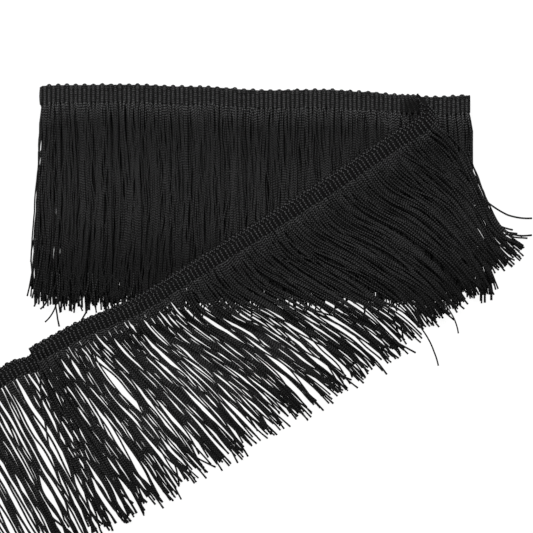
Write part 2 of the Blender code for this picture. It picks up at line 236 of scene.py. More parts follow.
cordSteps = 128                            # plan points along each cord
curled = {"share": 0.16, "more": 3.0}      # cords whose tips curl more than the others'
lowerSeen = 100.0                          # the fourth layer's heading shows to the right of this


def looseness(rng, part, along, lean, wave, shiver, curl, spread):
    free = np.clip(along / 30.0, 0, 1) ** 1.3
    if rng.random() < curled["share"]:
        curl *= curled["more"]
    sway = rng.normal(0, wave) * np.sin(along / rng.uniform(14, 30) + rng.uniform(0, 6)) * free
    sway = sway + rng.normal(0, shiver) * np.sin(along / rng.uniform(4, 9) + rng.uniform(0, 6)) * free
    tipCurl = rng.normal(0, curl) * np.clip((part - 0.75) / 0.25, 0, 1) ** 2
    aside = rng.uniform(-spread, spread) * ease(along / rng.uniform(9, 40))
    return rng.normal(0, lean) * part + sway + tipCurl + aside


stackLoose = {"lean": 1.4, "wave": 0.9, "shiver": 0.6, "curl": 2.6, "spread": 0.5}  # mm
tailWaves = {"wave": 0.8, "shiver": 0.45, "curl": 1.4, "spread": 0.5}


def stackCord(rng, root, layer, offset, ripples, cut):
    x = root[0]
    usual = read(stackDrift, "length", x)
    length = usual * (1 + cut) * rng.normal(0.995, 0.028)
    if rng.random() < 0.14:
        length *= rng.uniform(0.88, 1.07)
    part = np.linspace(0.0, 1.0, cordSteps)
    along = part * length
    halfDrift = read(stackDrift, "half", x)
    tipDrift = read(stackDrift, "tip", x)
    share = along / usual
    drift = halfDrift * ease(share * 2) + (tipDrift - halfDrift) * ease(share * 2 - 1)
    drift = drift + read(stackDrift, "start", x) * ease(along / 16) * (1 - 0.7 * ease(share * 2))
    points = np.stack((x + drift, root[1] - along), axis=1)
    together = ripples(x, along, 0.7, 0.9) * np.clip(along / 40.0, 0, 1) ** 1.3
    splay = 1.3 + 2.2 * smooth((x - 85) / 40) * (layer == 4)
    alone = looseness(rng, part, along, **stackLoose)
    alone = alone + rng.normal(0, splay) * (1 - np.exp(-along / rng.uniform(5, 20)))
    spread = offset * 0.9 * ease(along / rng.uniform(5, 12))
    return wander(points, (together + alone) * layerLoose[layer] + spread)


def tailCord(rng, root, across, reach, place, ripples, cut):
    loose = tailLoose.get(place, tailLoose["tail_end"])
    leave, early, late, tip = (read(tailFlow, key, reach) for key in ("leave", "early", "late", "tip"))
    length = read(tailFlow, "length", reach) * (1 + cut) * rng.normal(1.0, 0.024)
    if rng.random() < 0.07:
        length *= rng.uniform(0.84, 0.96)
    part = np.linspace(0.0, 1.0, cordSteps)
    along = part * length
    angle = leave + (early - leave) * ease(part / 0.3) + (late - early) * ease((part - 0.3) / 0.35)
    angle = angle + (tip - late) * ease((part - 0.65) / 0.35) + rng.uniform(*loose["fan"])
    astray = rng.random() < loose["strayed"]
    turned, fades = (strayTurn, 18) if astray else (loose["turn"], 26)
    angle = angle + rng.normal(0, turned) * np.exp(-along / fades)
    square = -math.degrees(math.atan2(across[1], across[0]))
    angle = square + (angle - square) * ease(along / 6.0)
    bearing = np.radians(-angle)
    moves = np.stack((np.cos(bearing), np.sin(bearing)), axis=1) * (length / (cordSteps - 1))
    points = root + np.vstack((np.zeros(2), np.cumsum(moves[:-1], axis=0)))
    together = ripples(reach, along, 0.9, 0.4) * np.clip(along / 32.0, 0, 1) ** 1.3
    lean = loose["lean"] * (0.4 + 0.6 * smooth((reach - 60) / 80))
    points = wander(points, together + looseness(rng, part, along, lean, **tailWaves))
    return points if rng.random() < 0.05 else openGaps(points)


def openGaps(points):                      # cords beside a white gap are pushed to its sides
    for gap in tailGaps:
        start = np.array((gap["x0"], gap["y0"]))
        run = np.array((gap["x1"], gap["y1"])) - start
        size = np.linalg.norm(run)
        way = run / size
        side = np.array((-way[1], way[0]))
        t = (points - start) @ way / size
        off = (points - start) @ side
        inside = (t > 0) & (t < 1)
        if not inside.any() or (off[inside].max() > 0.8 and off[inside].min() < -0.8):
            continue                       # a cord that crosses the gap stays as it is
        hand = 1.0 if off[inside].mean() >= 0 else -1.0
        near = np.maximum(hand * off, 0.0)
        width = gap["half"] * np.sin(np.pi * np.clip(t, 0, 1)) ** 0.7
        room = gap["half"] * 5.0
        moved = np.where(near < room, width + near * (1 - width / room), near)
        shift = np.where(inside & (hand * off < room), moved - hand * off, 0.0)
        points = points + side * (hand * shift)[:, None]
    return points


tuckReach = 341.0                          # running length of the tail's root line at the tuck
hiddenReach = 7.5                          # the turned corner hides the cords before this
rootJitter = {"tail": 0.25, "layer_1": 0.02}
strayTurn = 17.0                           # how far a strayed cord turns aside, in degrees
tailLoose = {                              # how the other cords of the tail turn and lean aside
    "tail": {"turn": 5.0, "strayed": 0.45, "lean": 5.5, "fan": (0.0, 0.0)},
    "tuck": {"turn": 6.0, "strayed": 0.3, "lean": 4.0, "fan": (-4.0, 22.0)},
    "tuck_under": {"turn": 6.0, "strayed": 0.3, "lean": 4.0, "fan": (-8.0, 14.0)},
    "tail_end": {"turn": 2.5, "strayed": 0.2, "lean": 3.0, "fan": (0.0, 0.0)},
}
topStart = 5.2                             # how far from the heading's edge a top cord starts
ribCords = {                               # roots beside a rib's middle, and which cords lie on top
    "layer": ((-0.55, False), (0.0, False), (0.55, False)),
    "upper": ((-0.6, False), (-0.2, False), (0.2, False), (0.6, False)),
    "tail": ((0.0, True), (1.25, False), (-1.1, False), (0.55, False), (-0.55, False)),
    "tail_end": ((0.0, True), (1.45, False), (-0.9, False)),
}
lastCord = {"tail": 0.75, "tail_end": 0.55}  # share of the ribs that carry the last of these


def onHeading(points, across, width):      # the stretch of a top cord that lies on the heading
    back = np.arange(width - 1.0 - topStart, 0.5, -1.0)
    return np.vstack((points[0] - across[None, :] * back[:, None], points))


class CutLine:                             # how unevenly the cords were cut, over the roots
    def __init__(self, rng, share):
        self.waves = Ripples(rng, 9.0, 1.0, 7)
        self.share = share

    def at(self, root):
        return float(self.waves.at(root, np.zeros(1))[0]) * self.share


class Sway:                                # how a stretch's cords sway, in clumps and each rib's own way
    def __init__(self, rng, wide, long):
        self.clump = Ripples(rng, wide * 0.8, long * 1.3)
        self.each = [Ripples(rng, wide * scale, long) for scale in (1.0, 1.3, 0.8, 1.15, 0.9)]
        self.cut = CutLine(rng, 0.022)

    def of(self, number):
        def both(root, along, clumped, own):
            return self.clump.at(root, along) * clumped + self.each[number].at(root, along) * own
        return both


# Pieces whose cords are thicker than the others, and single cords that stray from the rest,
# by three points on the plan
fuller = {"cords_layer_1": 1.35, "cords_tail": 1.1, "cords_tail_end": 1.34}
strays = {
    "cords_tail": (
        ((181.4, 101.5), (200.9, 89.0), (221.0, 85.7)),
        ((128.9, 19.4), (145.3, -1.0), (153.4, -20.9)),
        ((146.9, 33.8), (160.1, 19.0), (167.0, 2.9)),
        ((174.0, 134.0), (181.6, 110.5), (187.8, 94.0)),
        ((172.5, 130.0), (179.2, 110.5), (186.0, 91.0)),
    ),
    "cords_layer_5": (
        ((-119.5, 45.4), (-121.1, 24.5), (-130.3, 10.8)),
        ((-92.0, 42.0), (-96.9, 25.6), (-103.7, 12.2)),
        ((-132.6, 134.0), (-137.4, 98.6), (-141.0, 54.0)),
        ((-124.6, 47.0), (-126.7, 30.0), (-133.2, 20.2)),
        ((-121.0, 46.0), (-120.2, 30.0), (-118.8, 17.6)),
        ((-98.6, 46.0), (-101.5, 30.0), (-113.0, 23.0)),
        ((-95.8, 46.0), (-94.3, 29.5), (-92.9, 17.6)),
        ((-66.2, 46.0), (-68.4, 31.0), (-78.5, 25.2)),
        ((-136.8, 70.0), (-138.6, 50.0), (-143.3, 29.5)),
        ((-131.0, 66.0), (-134.6, 46.0), (-139.0, 28.0)),
    ),
}


def strayCords(rng):
    cords = []
    t = np.linspace(0, 1, cordSteps)[:, None]
    lines = [(piece, line) for piece, found in strays.items() for line in found]
    for piece, line in lines:
        start, middle, end = (np.array(spot) for spot in line)
        pull = 2 * middle - (start + end) / 2
        cords.append({
            "piece": piece,
            "place": "stray",
            "points": start * (1 - t) ** 2 + pull * 2 * t * (1 - t) + end * t**2,
            "root": 0.0,
            "top": True,
            "begin": 80.0,                 # only the far part of such a cord shows
            "layer": 5,
            "radius": trim["cordRadius"] * rng.normal(1.0, 0.05),
        })
    return cords


def kindOf(place, x):                      # which row of ribCords a rib takes
    if place == "layer_5" or (place == "layer_4" and x > lowerSeen):
        return "upper"
    if place.startswith("layer"):
        return "layer"
    return "tail" if place == "tail" else "tail_end"


def allCords(heading):                     # every cord's plan line, its piece, root height and kind
    rng = np.random.default_rng(11)
    cords = []
    pitch = trim["ribPitch"]
    ripples = {}
    for place in ("layer_1", "layer_2", "layer_3", "layer_4", "layer_5", "tail"):
        wide, long = (26.0, 130.0) if place == "tail" else (18.0, 110.0)
        ripples[place] = Sway(rng, wide, long)
    for rib in range(int(heading.length[-1] / pitch)):
        length = (rib + 0.5) * pitch
        place = heading.placeAt(length)
        if place == "fold":
            continue
        edge, across, front = heading.at(length)
        wide = np.linalg.norm(across)
        way = across[:2] / wide
        beside = np.array((-way[1], way[0]))
        reach = heading.reachAt(length)
        hidden = place == "tail" and reach < hiddenReach
        onStack = place.startswith("layer")
        kind = kindOf(place, edge[0])
        waves = ripples[place if onStack else "tail"]
        for number, (offset, onTop) in enumerate(ribCords[kind]):
            if number == len(ribCords[kind]) - 1 and rng.random() > lastCord.get(kind, 1.0):
                continue
            if (hidden and not onTop) or (place.startswith("tuck") and rng.random() > 0.5):
                continue
            spot = offset + rng.normal(0, rootJitter.get(place, 0.12))
            root = edge[:2] + way * (wide - 1.2) + beside * spot
            if onStack:
                layer = int(place[-1]) - 1
                points = stackCord(rng, root, layer, offset, waves.of(number), waves.cut.at(edge[0]))
                piece = f"cords_layer_{layer + 1}"
            else:
                layer = 5
                points = tailCord(rng, root, way, reach + spot, place, waves.of(number), waves.cut.at(reach))
                piece = "cords_tail" if place == "tail" else "cords_tail_end"
            if onTop:
                points = onHeading(points, way, trim["headingWidth"])
            if hidden:
                points = points[:3 - cordSteps]
            cords.append({
                "piece": piece,
                "place": place,
                "points": points,
                "root": edge[2] + (1.0 if onTop else 0.3 if kind == "upper" and number in (1, 2) else -0.3),
                "top": onTop,
                "layer": layer,
                "radius": trim["cordRadius"] * rng.normal(1.0, 0.05) * fuller.get(piece, 1.0),
            })
    return cords + strayCords(rng)


# How the heading is folded, as a row of cross sections
tape = {
    "half": 0.45,                          # half the thickness of the woven band itself
    "fineStep": 0.8,                       # between sections where the heading shows
    "hiddenStep": 5.0,
    "foldSteps": 8,
    "foldRadius": 1.1,
    "cornerAcross": -46.0,
}


def level(vector, z=0.0):
    return np.array((vector[0], vector[1], z))


class Heading:                             # cross sections along the band: edge, way across, front
    def __init__(self):
        self.edges = []
        self.across = []
        self.fronts = []
        self.where = []

    def lay(self, edge, across, front, where):
        self.edges.append(edge)
        self.across.append(across)
        self.fronts.append(front)
        self.where.append(where)

    def fold(self, edge, across, side, ahead, rise):
        radius = tape["foldRadius"]
        for step in range(1, tape["foldSteps"]):
            angle = math.pi * step / tape["foldSteps"]
            lift = np.array((0.0, 0.0, rise * radius * (1 - math.cos(angle))))
            shift = ahead * (radius * math.sin(angle)) + lift
            front = (np.array((0.0, 0.0, math.cos(angle))) - ahead * (rise * math.sin(angle))) * side
            self.lay(edge + shift, across, front, "fold")

    def close(self):
        self.edges = np.array(self.edges)
        self.across = np.array(self.across)
        self.fronts = np.array(self.fronts)
        middles = self.edges + self.across / 2
        steps = np.linalg.norm(np.diff(middles, axis=0), axis=1)
        self.length = np.concatenate(([0.0], np.cumsum(steps)))
        steps = np.linalg.norm(np.diff(self.edges + self.across, axis=0), axis=1)
        self.reach = np.concatenate(([0.0], np.cumsum(steps)))
        self.reach -= self.reach[self.where.index("tail")]
        last = self.where.index("tail_end")
        self.reach[last:] += tuckReach + 10.0 - self.reach[last]

    def at(self, length):                  # edge, way across and front at a running length
        found = []
        for rows in (self.edges, self.across, self.fronts):
            found.append(np.array([np.interp(length, self.length, rows[:, i]) for i in range(3)]))
        found[2] /= np.linalg.norm(found[2])
        return found

    def reachAt(self, length):             # along the root line from the turned corner
        return float(np.interp(length, self.length, self.reach))

    def placeAt(self, length):
        return self.where[int(np.searchsorted(self.length, length).clip(0, len(self.where) - 1))]


def stackPoint(x, layer):
    z = trim["headingHalf"] + trim["layerPitch"] * layer
    return np.array((x, read(stackEdge, "y", x) - layerBack[layer], z))


def foldHeading():
    heading = Heading()
    up = np.array((0.0, 0.0, 1.0))
    down = np.array((0.0, -1.0, 0.0))
    inset = tape["foldRadius"] + trim["headingHalf"]
    left = trim["stackLeft"] + inset
    right = trim["stackRight"] - inset
    corner = tailUpper[0]["x"]
    wide = trim["headingWidth"]
    for layer in range(trim["layers"]):
        top = layer == trim["layers"] - 1
        side = 1 if layer % 2 == 0 else -1
        start, stop = (left, right) if side > 0 else (right, left)
        if top:
            stop = corner
        count = round(abs(stop - start) / tape["fineStep"])
        skip = round(tape["hiddenStep"] / tape["fineStep"])
        for i in range(count + 1):
            x = start + (stop - start) * i / count
            seen = top or (layer == trim["layers"] - 2 and x > corner - 10)
            if not seen and i % skip and i != count:
                continue
            across = down * wide
            if top:
                lean = smooth(1 - (corner - x) / wide)
                angle = -90.0 + (90.0 + tape["cornerAcross"]) * lean
                across = level(turn(angle)) * (wide / -math.sin(math.radians(angle)))
            heading.lay(stackPoint(x, layer), across, up * side, f"layer_{layer + 1}")
        if not top:
            ahead = np.array((float(side), 0.0, 0.0))
            heading.fold(stackPoint(stop, layer), down * wide, side, ahead, 1)
    ahead = level(turn(tape["cornerAcross"] + 90))
    heading.fold(stackPoint(corner, trim["layers"] - 1), heading.across[-1], 1, ahead, 1)

    def layRows(rows, side, where, before=None, until=None):
        for row in rows:
            place = before if before and row["x"] > until else where
            edge = level((row["x"], row["y"]), row["z"])
            heading.lay(edge, level(turn(row["across"])) * row["width"], up * side, place)

    def tuck(row, side, hand):
        edge = level((row["x"], row["y"]), row["z"])
        across = level(turn(row["across"]))
        heading.fold(edge, across * row["width"], side, level(turn(row["across"] + 90)) * hand, -1)

    layRows(through(tailUpper, tape["fineStep"]), -1, "tail")
    tuck(tailUpper[-1], -1, -1)
    layRows(through(tuckBack, tape["fineStep"]), 1, "tuck")
    tuck(tuckBack[-1], 1, 1)
    layRows(through(tailLower, tape["fineStep"]), -1, "tail_end", "tuck_under", tuckBack[0]["x"])
    heading.close()
    return heading


# The pile: the highest surface so far, on a grid over the plan
pile = {
    "cell": 0.5,
    "left": -260.0,
    "low": -230.0,
    "columns": 1080,
    "rows": 860,
    "bend": 24.0,                          # radius that a cord bends to over what is under it
    "first": 0.6,                          # middle of the lowest layer of cords
    "layer": 1.42,                         # between layers of cords in the stack
    "give": 0.45,                          # how far above its layer a cord may ride
    "tailGive": 1.3,
}


class Pile:
    def __init__(self):
        self.top = np.zeros((pile["rows"], pile["columns"]))

    def cells(self, points):
        column = ((points[..., 0] - pile["left"]) / pile["cell"]).astype(int).clip(0, pile["columns"] - 1)
        row = ((points[..., 1] - pile["low"]) / pile["cell"]).astype(int).clip(0, pile["rows"] - 1)
        return row, column

    def under(self, points, radius, top=None):
        top = self.top if top is None else top
        beside = sideways(points)
        found = [top[self.cells(points + beside * offset)] for offset in (-0.6 * radius, 0.0, 0.6 * radius)]
        return np.max(found, axis=0)

    def add(self, points, heights, radius):
        lengths = running(points)
        count = int(lengths[-1] / 0.45)
        spots = np.linspace(0, lengths[-1], count)
        line = np.stack([np.interp(spots, lengths, points[:, i]) for i in (0, 1)], axis=1)
        middle = np.interp(spots, lengths, heights)
        beside = sideways(line)
        for offset in np.linspace(-0.8, 0.8, 5) * radius:
            surface = middle + math.sqrt(radius**2 - offset**2)
            np.maximum.at(self.top, self.cells(line + beside * offset), surface)


def sideways(points):
    way = np.gradient(points, axis=0)
    way /= np.linalg.norm(way, axis=1)[:, None] + 1e-9
    return np.stack((-way[:, 1], way[:, 0]), axis=1)


def running(points):
    return np.concatenate(([0.0], np.cumsum(np.linalg.norm(np.diff(points, axis=0), axis=1))))


def settle(need, lengths):                 # a stiff line over the heights that it needs
    drop = (lengths[:, None] - lengths[None, :]) ** 2 / (2 * pile["bend"])
    line = (need[None, :] - drop).max(axis=1)
    kernel = np.array((1.0, 2.0, 3.0, 2.0, 1.0)) / 9.0
    return np.convolve(np.pad(line, 2, mode="edge"), kernel, mode="valid")


def layCords(cords, ground, heading):      # gives every cord its heights, one after another
    rng = np.random.default_rng(23)
    def those(places, top):
        return [c for c in cords if c["place"] in places and c["top"] == top]

    groups = [those(("layer_1",), False), those(("layer_2",), False), those(("layer_3",), False)]
    groups += [those(("layer_4",), False), "layer_4", those(("layer_4",), True), those(("layer_5",), False)]
    groups += [those(("tuck_under", "tail_end"), False), "tail_end"]
    groups += [those(("tuck_under", "tail_end"), True), those(("tuck",), False), those(("tuck",), True)]
    groups += [those(("tail",), False), "tail", those(("tail",), True), those(("stray",), True)]
    for group in groups:
        if isinstance(group, str):
            layHeading(heading, ground, group)
            continue
        before = ground.top.copy()
        for number in rng.permutation(len(group)):
            cord = group[number]
            points = cord["points"]
            lengths = running(points)
            radius = cord["radius"]
            need = ground.under(points, radius) + radius
            if not cord["top"]:
                need[0] = cord["root"]
            heights = settle(need, lengths)
            if cord["layer"] < 5:
                bed = pile["first"] + pile["layer"] * cord["layer"]
                start = lengths - (trim["headingWidth"] - 1 - topStart if cord["top"] else 0.0)
                ceiling = bed + pile["give"] + max(cord["root"] - bed, 0) * (1 - ease(start / 22))
            else:
                alone = ground.under(points, radius, before) + radius
                if not cord["top"]:
                    alone[0] = cord["root"]
                ceiling = settle(alone, lengths) + pile["tailGive"]
            cord["heights"] = np.minimum(heights, ceiling)
            ground.add(points, cord["heights"], radius)


def layHeading(heading, ground, where):
    for edge, across, place in zip(heading.edges, heading.across, heading.where):
        if place != where:
            continue
        spots = edge + across * np.linspace(0, 1, 40)[:, None]
        for offset in (-0.3, 0.0, 0.3):
            beside = spots + np.array((offset, offset, 0))
            np.maximum.at(ground.top, ground.cells(beside), edge[2] + tape["half"])


class Yarn:                                # tubes gathered into one mesh
    def __init__(self, name, sides):
        self.name = name
        self.sides = sides
        self.points = []
        self.faces = []
        self.maps = []
        self.count = 0
        self.number = 0

    def add(self, line, radius, lift=None, tall=1.0, wide=1.0, begin=0.0):
        sides = self.sides
        count = len(line)
        radius = np.broadcast_to(radius, (count,))
        way = np.gradient(line, axis=0)
        way /= np.linalg.norm(way, axis=1)[:, None] + 1e-12
        lift = np.broadcast_to(np.array((0.0, 0.0, 1.0)) if lift is None else lift, (count, 3))
        side = np.cross(way, lift)
        side /= np.linalg.norm(side, axis=1)[:, None] + 1e-12
        over = np.cross(side, way)
        angles = np.arange(sides) * 2 * np.pi / sides
        ring = side[:, None, :] * (np.cos(angles) * wide)[None, :, None]
        ring = ring + over[:, None, :] * (np.sin(angles) * tall)[None, :, None]
        points = line[:, None, :] + ring * radius[:, None, None]
        first = self.count
        i, j = np.meshgrid(np.arange(count - 1), np.arange(sides), indexing="ij")
        k = (j + 1) % sides
        quads = np.stack((i * sides + j, (i + 1) * sides + j, (i + 1) * sides + k, i * sides + k), axis=-1)
        self.faces.extend((quads.reshape(-1, 4) + first).tolist())
        self.faces.append([first + s for s in range(sides)])
        self.faces.append([first + (count - 1) * sides + s for s in reversed(range(sides))])
        lengths = np.concatenate(([0.0], np.cumsum(np.linalg.norm(np.diff(line, axis=0), axis=1))))
        lengths += begin
        near, far = lengths[i], lengths[i + 1]
        low, high = self.number + j / sides * 0.98, self.number + (j + 1) / sides * 0.98
        maps = np.stack((near, low, far, low, far, high, near, high), axis=-1).reshape(-1)
        self.maps.append(maps)
        for end in (lengths[0], lengths[-1]):
            self.maps.append(np.tile((end, self.number + 0.5), sides))
        self.points.append(points.reshape(-1, 3))
        self.count += count * sides
        self.number += 1

    def make(self, finish):
        points = (np.concatenate(self.points) + level(planShift)) * mm
        points[:, 2] = np.maximum(points[:, 2], 0.00005)       # nothing sinks into the floor
        mesh = bpy.data.meshes.new(self.name)
        mesh.from_pydata(points.tolist(), [], self.faces)
        layer = mesh.uv_layers.new(name="cordMap")
        layer.data.foreach_set("uv", np.concatenate(self.maps).astype(np.float32))
        mesh.polygons.foreach_set("use_smooth", np.ones(len(mesh.polygons), bool))
        mesh.materials.append(finish)
        mesh.update()
        made = bpy.data.objects.new(self.name, mesh)
        bpy.context.scene.collection.objects.link(made)
        triangles = sum(len(face) - 2 for face in self.faces)
        print(f"  {self.name}: {self.number} strands, {triangles} triangles")
        return made


# Finishes: Python arithmetic on shader sockets
class Wire:
    def __init__(self, finish, socket):
        self.finish = finish
        self.socket = socket

    def math(self, operation, *values):
        return self.finish.node("ShaderNodeMath", {"operation": operation}, dict(enumerate(values)))

    def __add__(self, other):
        return self.math("ADD", self, other)

    def __sub__(self, other):
        return self.math("SUBTRACT", self, other)

    def __rsub__(self, other):
        return self.math("SUBTRACT", other, self)

    def __mul__(self, other):
        return self.math("MULTIPLY", self, other)

    def __truediv__(self, other):
        return self.math("DIVIDE", self, other)

    def __pow__(self, other):
        return self.math("POWER", self, other)

    __radd__ = __add__
    __rmul__ = __mul__


class Finish:
    def __init__(self, name, constants):
        self.material = bpy.data.materials.new(name)
        self.material.use_nodes = True
        self.tree = self.material.node_tree
        self.shader = self.tree.nodes["Principled BSDF"]
        for socket, value in constants.items():
            self.shader.inputs[socket].default_value = value

    def node(self, kind, settings, values, output=0):
        made = self.tree.nodes.new(kind)
        for key, value in settings.items():
            if key == "stops":
                ramp = made.color_ramp.elements
                ramp[0].position, ramp[0].color = value[0]
                ramp[1].position, ramp[1].color = value[-1]
                for position, colour in value[1:-1]:
                    ramp.new(position).color = colour
            else:
                setattr(made, key, value)
        for key, value in values.items():
            if isinstance(value, Wire):
                self.tree.links.new(value.socket, made.inputs[key])
            else:
                made.inputs[key].default_value = value
        return Wire(self, made.outputs[output])

    def feed(self, socket, wire):
        self.tree.links.new(wire.socket, self.shader.inputs[socket])


def wave(value):
    return value.math("SINE", value) * 0.5 + 0.5


yarnLook = {
    "stitch": 1.85,                        # mm of cord for each chain stitch
    "dark": (0.0006, 0.0006, 0.0006, 1.0),
    "light": (0.0770, 0.0770, 0.0785, 1.0),
    "bump": 0.00060,
    "paintedRootLight": 3.6,                      # painted light: how much lighter the cords are painted beside the heading
    "rootShade": 0.72,                     # painted shade: how much darker they are painted just below that
    "tipShade": 0.34,                      # and painted shade: how much darker they are painted towards their tips
}
headingLook = {
    **yarnLook,
    "stitch": 1.3,
    "light": (0.158, 0.158, 0.161, 1.0),
    "paintedRootLight": 1.0,
    "rootShade": 1.0,
    "tipShade": 1.0,
}
# the tail's cords: a copy of the same yarn painted lighter, as more of the lamps' light falls on them, with
# less painted light beside the heading
tailLitLook = {**yarnLook, "light": (0.0910, 0.0910, 0.0928, 1.0), "paintedRootLight": 2.2}
lightShare = {                             # what makes a spot of the yarn light; the stitches' share paints a highlight on each stitch and shade between them
    "stitches": 3.4,
    "fibres": 2.2,
    "cord": 0.6,
    "patches": 0.7,
    "less": 3.4,
    "most": 0.33,
}
foldShadow = {                                 # painted shade where the heading turns over, as little light gets in there
    "place": (0.1310, 0.1605, 0.011),
    "inner": 0.003,                        # darkest within this, and no darker beyond the reach
    "reach": 0.012,
    "shade": 0.08,
}


def eased(value, low, high, start, stop):  # from start to stop as the value goes from low to high
    settings = {"interpolation_type": "SMOOTHSTEP"}
    return value.finish.node("ShaderNodeMapRange", settings, {0: value, 1: low, 2: high, 3: start, 4: stop})


def cordFinish(name, look):
    finish = Finish(name, {
        "Roughness": 0.5,
        "Sheen Weight": 0.01,
        "Sheen Roughness": 0.45,
        "Specular IOR Level": 0.16,
    })
    spot = finish.node("ShaderNodeUVMap", {"uv_map": "cordMap"}, {})
    along = finish.node("ShaderNodeSeparateXYZ", {}, {0: spot}, 0)
    around = finish.node("ShaderNodeSeparateXYZ", {}, {0: spot}, 1)
    number = around.math("FLOOR", around)
    turned = around - number
    tone = finish.node("ShaderNodeTexWhiteNoise", {"noise_dimensions": "1D"}, {"W": number})
    chevron = turned.math("PINGPONG", turned * 4.0, 1.0)
    place = finish.node("ShaderNodeTexCoord", {}, {}, 3)
    fibres = finish.node("ShaderNodeTexNoise", {}, {"Vector": place, "Scale": 900.0, "Detail": 4.0})
    # the chain stitches, painted with a highlight on each stitch and shade between them
    stitches = wave((along / look["stitch"] + chevron * 0.32 + tone * 9.0 + fibres * 0.7) * 6.2832)
    patches = finish.node("ShaderNodeTexNoise", {}, {"Vector": place, "Scale": 45.0, "Detail": 2.0})
    facing = wave(turned * 6.41)           # 1 along the top of a cord, 0 beneath it; in the colour it paints shade on the cord's sides and underside
    # painted shade: darker towards the tips; the same factor also narrows their change of roughness
    tips = eased(along, 76.0, 122.0, 1.0, look["tipShade"])
    # painted light: the cords are painted lighter beside the heading
    roots = eased(along, 1.0, 19.0, look["paintedRootLight"], 1.0)
    # painted shade: the cords are painted darker just below that
    below = eased(along, 30.0, 52.0, look["rootShade"], 1.0)
    # painted shade: the yarn is painted darker near where the heading turns over
    away = finish.node("ShaderNodeVectorMath", {"operation": "DISTANCE"}, {0: place, 1: foldShadow["place"]}, 1)
    paintedFoldShade = eased(away, foldShadow["inner"], foldShadow["reach"], foldShadow["shade"], 1.0)
    share = stitches * lightShare["stitches"] + fibres * lightShare["fibres"] + tone * lightShare["cord"]
    share = share + patches * lightShare["patches"] - lightShare["less"]
    share = share.math("MINIMUM", share.math("MAXIMUM", share, 0.0), 1.0)
    # painted light and shade: lighter beside the roots, darker below them, towards the tips, at the
    # turned-over fold and on each cord's sides and underside
    share = share * (tips * roots * below * paintedFoldShade) * facing**1.8 * lightShare["most"]
    mixed = {0: share, 6: look["dark"], 7: look["light"]}
    colour = finish.node("ShaderNodeMix", {"data_type": "RGBA"}, mixed, 2)
    finish.feed("Base Color", colour)
    finish.feed("Roughness", 0.85 - stitches * facing * tips * 0.40 + fibres * 0.1)
    height = stitches * 0.8 + fibres * 0.35
    bump = finish.node("ShaderNodeBump", {}, {"Strength": 0.8, "Distance": look["bump"], "Height": height})
    finish.feed("Normal", bump)
    return finish.material


def bandShadedFinish():                          # the band's ground weave, seen only between the ribs: its own black, painted darker still as the shade deep between the ribs
    finish = Finish("band_ground_painted_shade", {
        "Sheen Weight": 0.0,
        "Specular IOR Level": 0.06,
    })
    place = finish.node("ShaderNodeTexCoord", {}, {}, 3)
    weave = finish.node("ShaderNodeTexNoise", {}, {"Vector": place, "Scale": 1800.0, "Detail": 2.0})
    # near black and darker than the cords' yarn: painted shade in the grooves between the ribs
    stops = [(0.3, (0.0015, 0.0015, 0.0015, 1.0)), (0.7, (0.007, 0.007, 0.0071, 1.0))]
    finish.feed("Base Color", finish.node("ShaderNodeValToRGB", {"stops": stops}, {0: weave}))
    finish.feed("Roughness", 0.75 + weave * 0.2)
    bump = finish.node("ShaderNodeBump", {}, {"Strength": 0.6, "Distance": 0.0002, "Height": weave})
    finish.feed("Normal", bump)
    return finish.material


# The heading's own make-up
gimp = {
    "ribWide": 1.30,                       # half a rib's width
    "ribTall": 0.80,
    "beads": 7,                            # threads that bind the ribs, in rows across
    "beadDepth": 0.26,
    "threadRadius": 0.14,
    "edgeRadius": 0.42,                    # of the two threads beside the upper edge
    "loopReach": 0.75,
    "loopSize": 1.1,
    "loopUneven": 0.45,
    "loopSpread": 0.40,                    # of a rib's pitch, to each side
    "loopRadius": 0.62,
}


def makeBand(heading, finish):             # the woven band itself, one thin sheet with rounded edges
    profile = [(0.0, 0.0), (0.02, 0.75), (0.08, 1.0)]
    profile += [(t, 1.0) for t in (0.25, 0.42, 0.58, 0.75)]
    profile += [(0.92, 1.0), (0.98, 0.75), (1.0, 0.0)]
    profile += [(t, -h) for t, h in reversed(profile[1:-1])]
    points = []
    kept = [i for i, place in enumerate(heading.where) if place == "fold" or i % 2 == 0]
    kept[-1] = len(heading.where) - 1
    for i in kept:
        for t, h in profile:
            points.append(heading.edges[i] + heading.across[i] * t + heading.fronts[i] * (h * tape["half"]))
    size = len(profile)
    rings = len(kept)
    faces = [list(range(size)), [(rings - 1) * size + s for s in reversed(range(size))]]
    for i in range(rings - 1):
        for j in range(size):
            k = (j + 1) % size
            faces.append([i * size + j, (i + 1) * size + j, (i + 1) * size + k, i * size + k])
    points = (np.array(points) + level(planShift)) * mm
    mesh = bpy.data.meshes.new("heading_band")
    mesh.from_pydata(points.tolist(), [], faces)
    layer = mesh.uv_layers.new(name="cordMap")
    maps = []
    lengths = heading.length[kept]
    for face in faces:
        for vertex in face:
            maps.extend((lengths[vertex // size], profile[vertex % size][0] * trim["headingWidth"] / 1000))
    layer.data.foreach_set("uv", np.array(maps, np.float32))
    mesh.polygons.foreach_set("use_smooth", np.ones(len(mesh.polygons), bool))
    mesh.materials.append(finish)
    made = bpy.data.objects.new("heading_band", mesh)
    bpy.context.scene.collection.objects.link(made)
    bm = bmesh.new()
    bm.from_mesh(mesh)
    bmesh.ops.recalc_face_normals(bm, faces=bm.faces)
    bm.to_mesh(mesh)
    bm.free()
    print(f"  heading_band: {len(faces)} faces, {lengths[-1]:.0f} mm long")
    return made


def shownAt(heading, length):
    place = heading.placeAt(length)
    if place == "layer_4":
        return heading.at(length)[0][0] > lowerSeen
    return place in ("layer_5", "tail", "tuck_under", "tail_end")


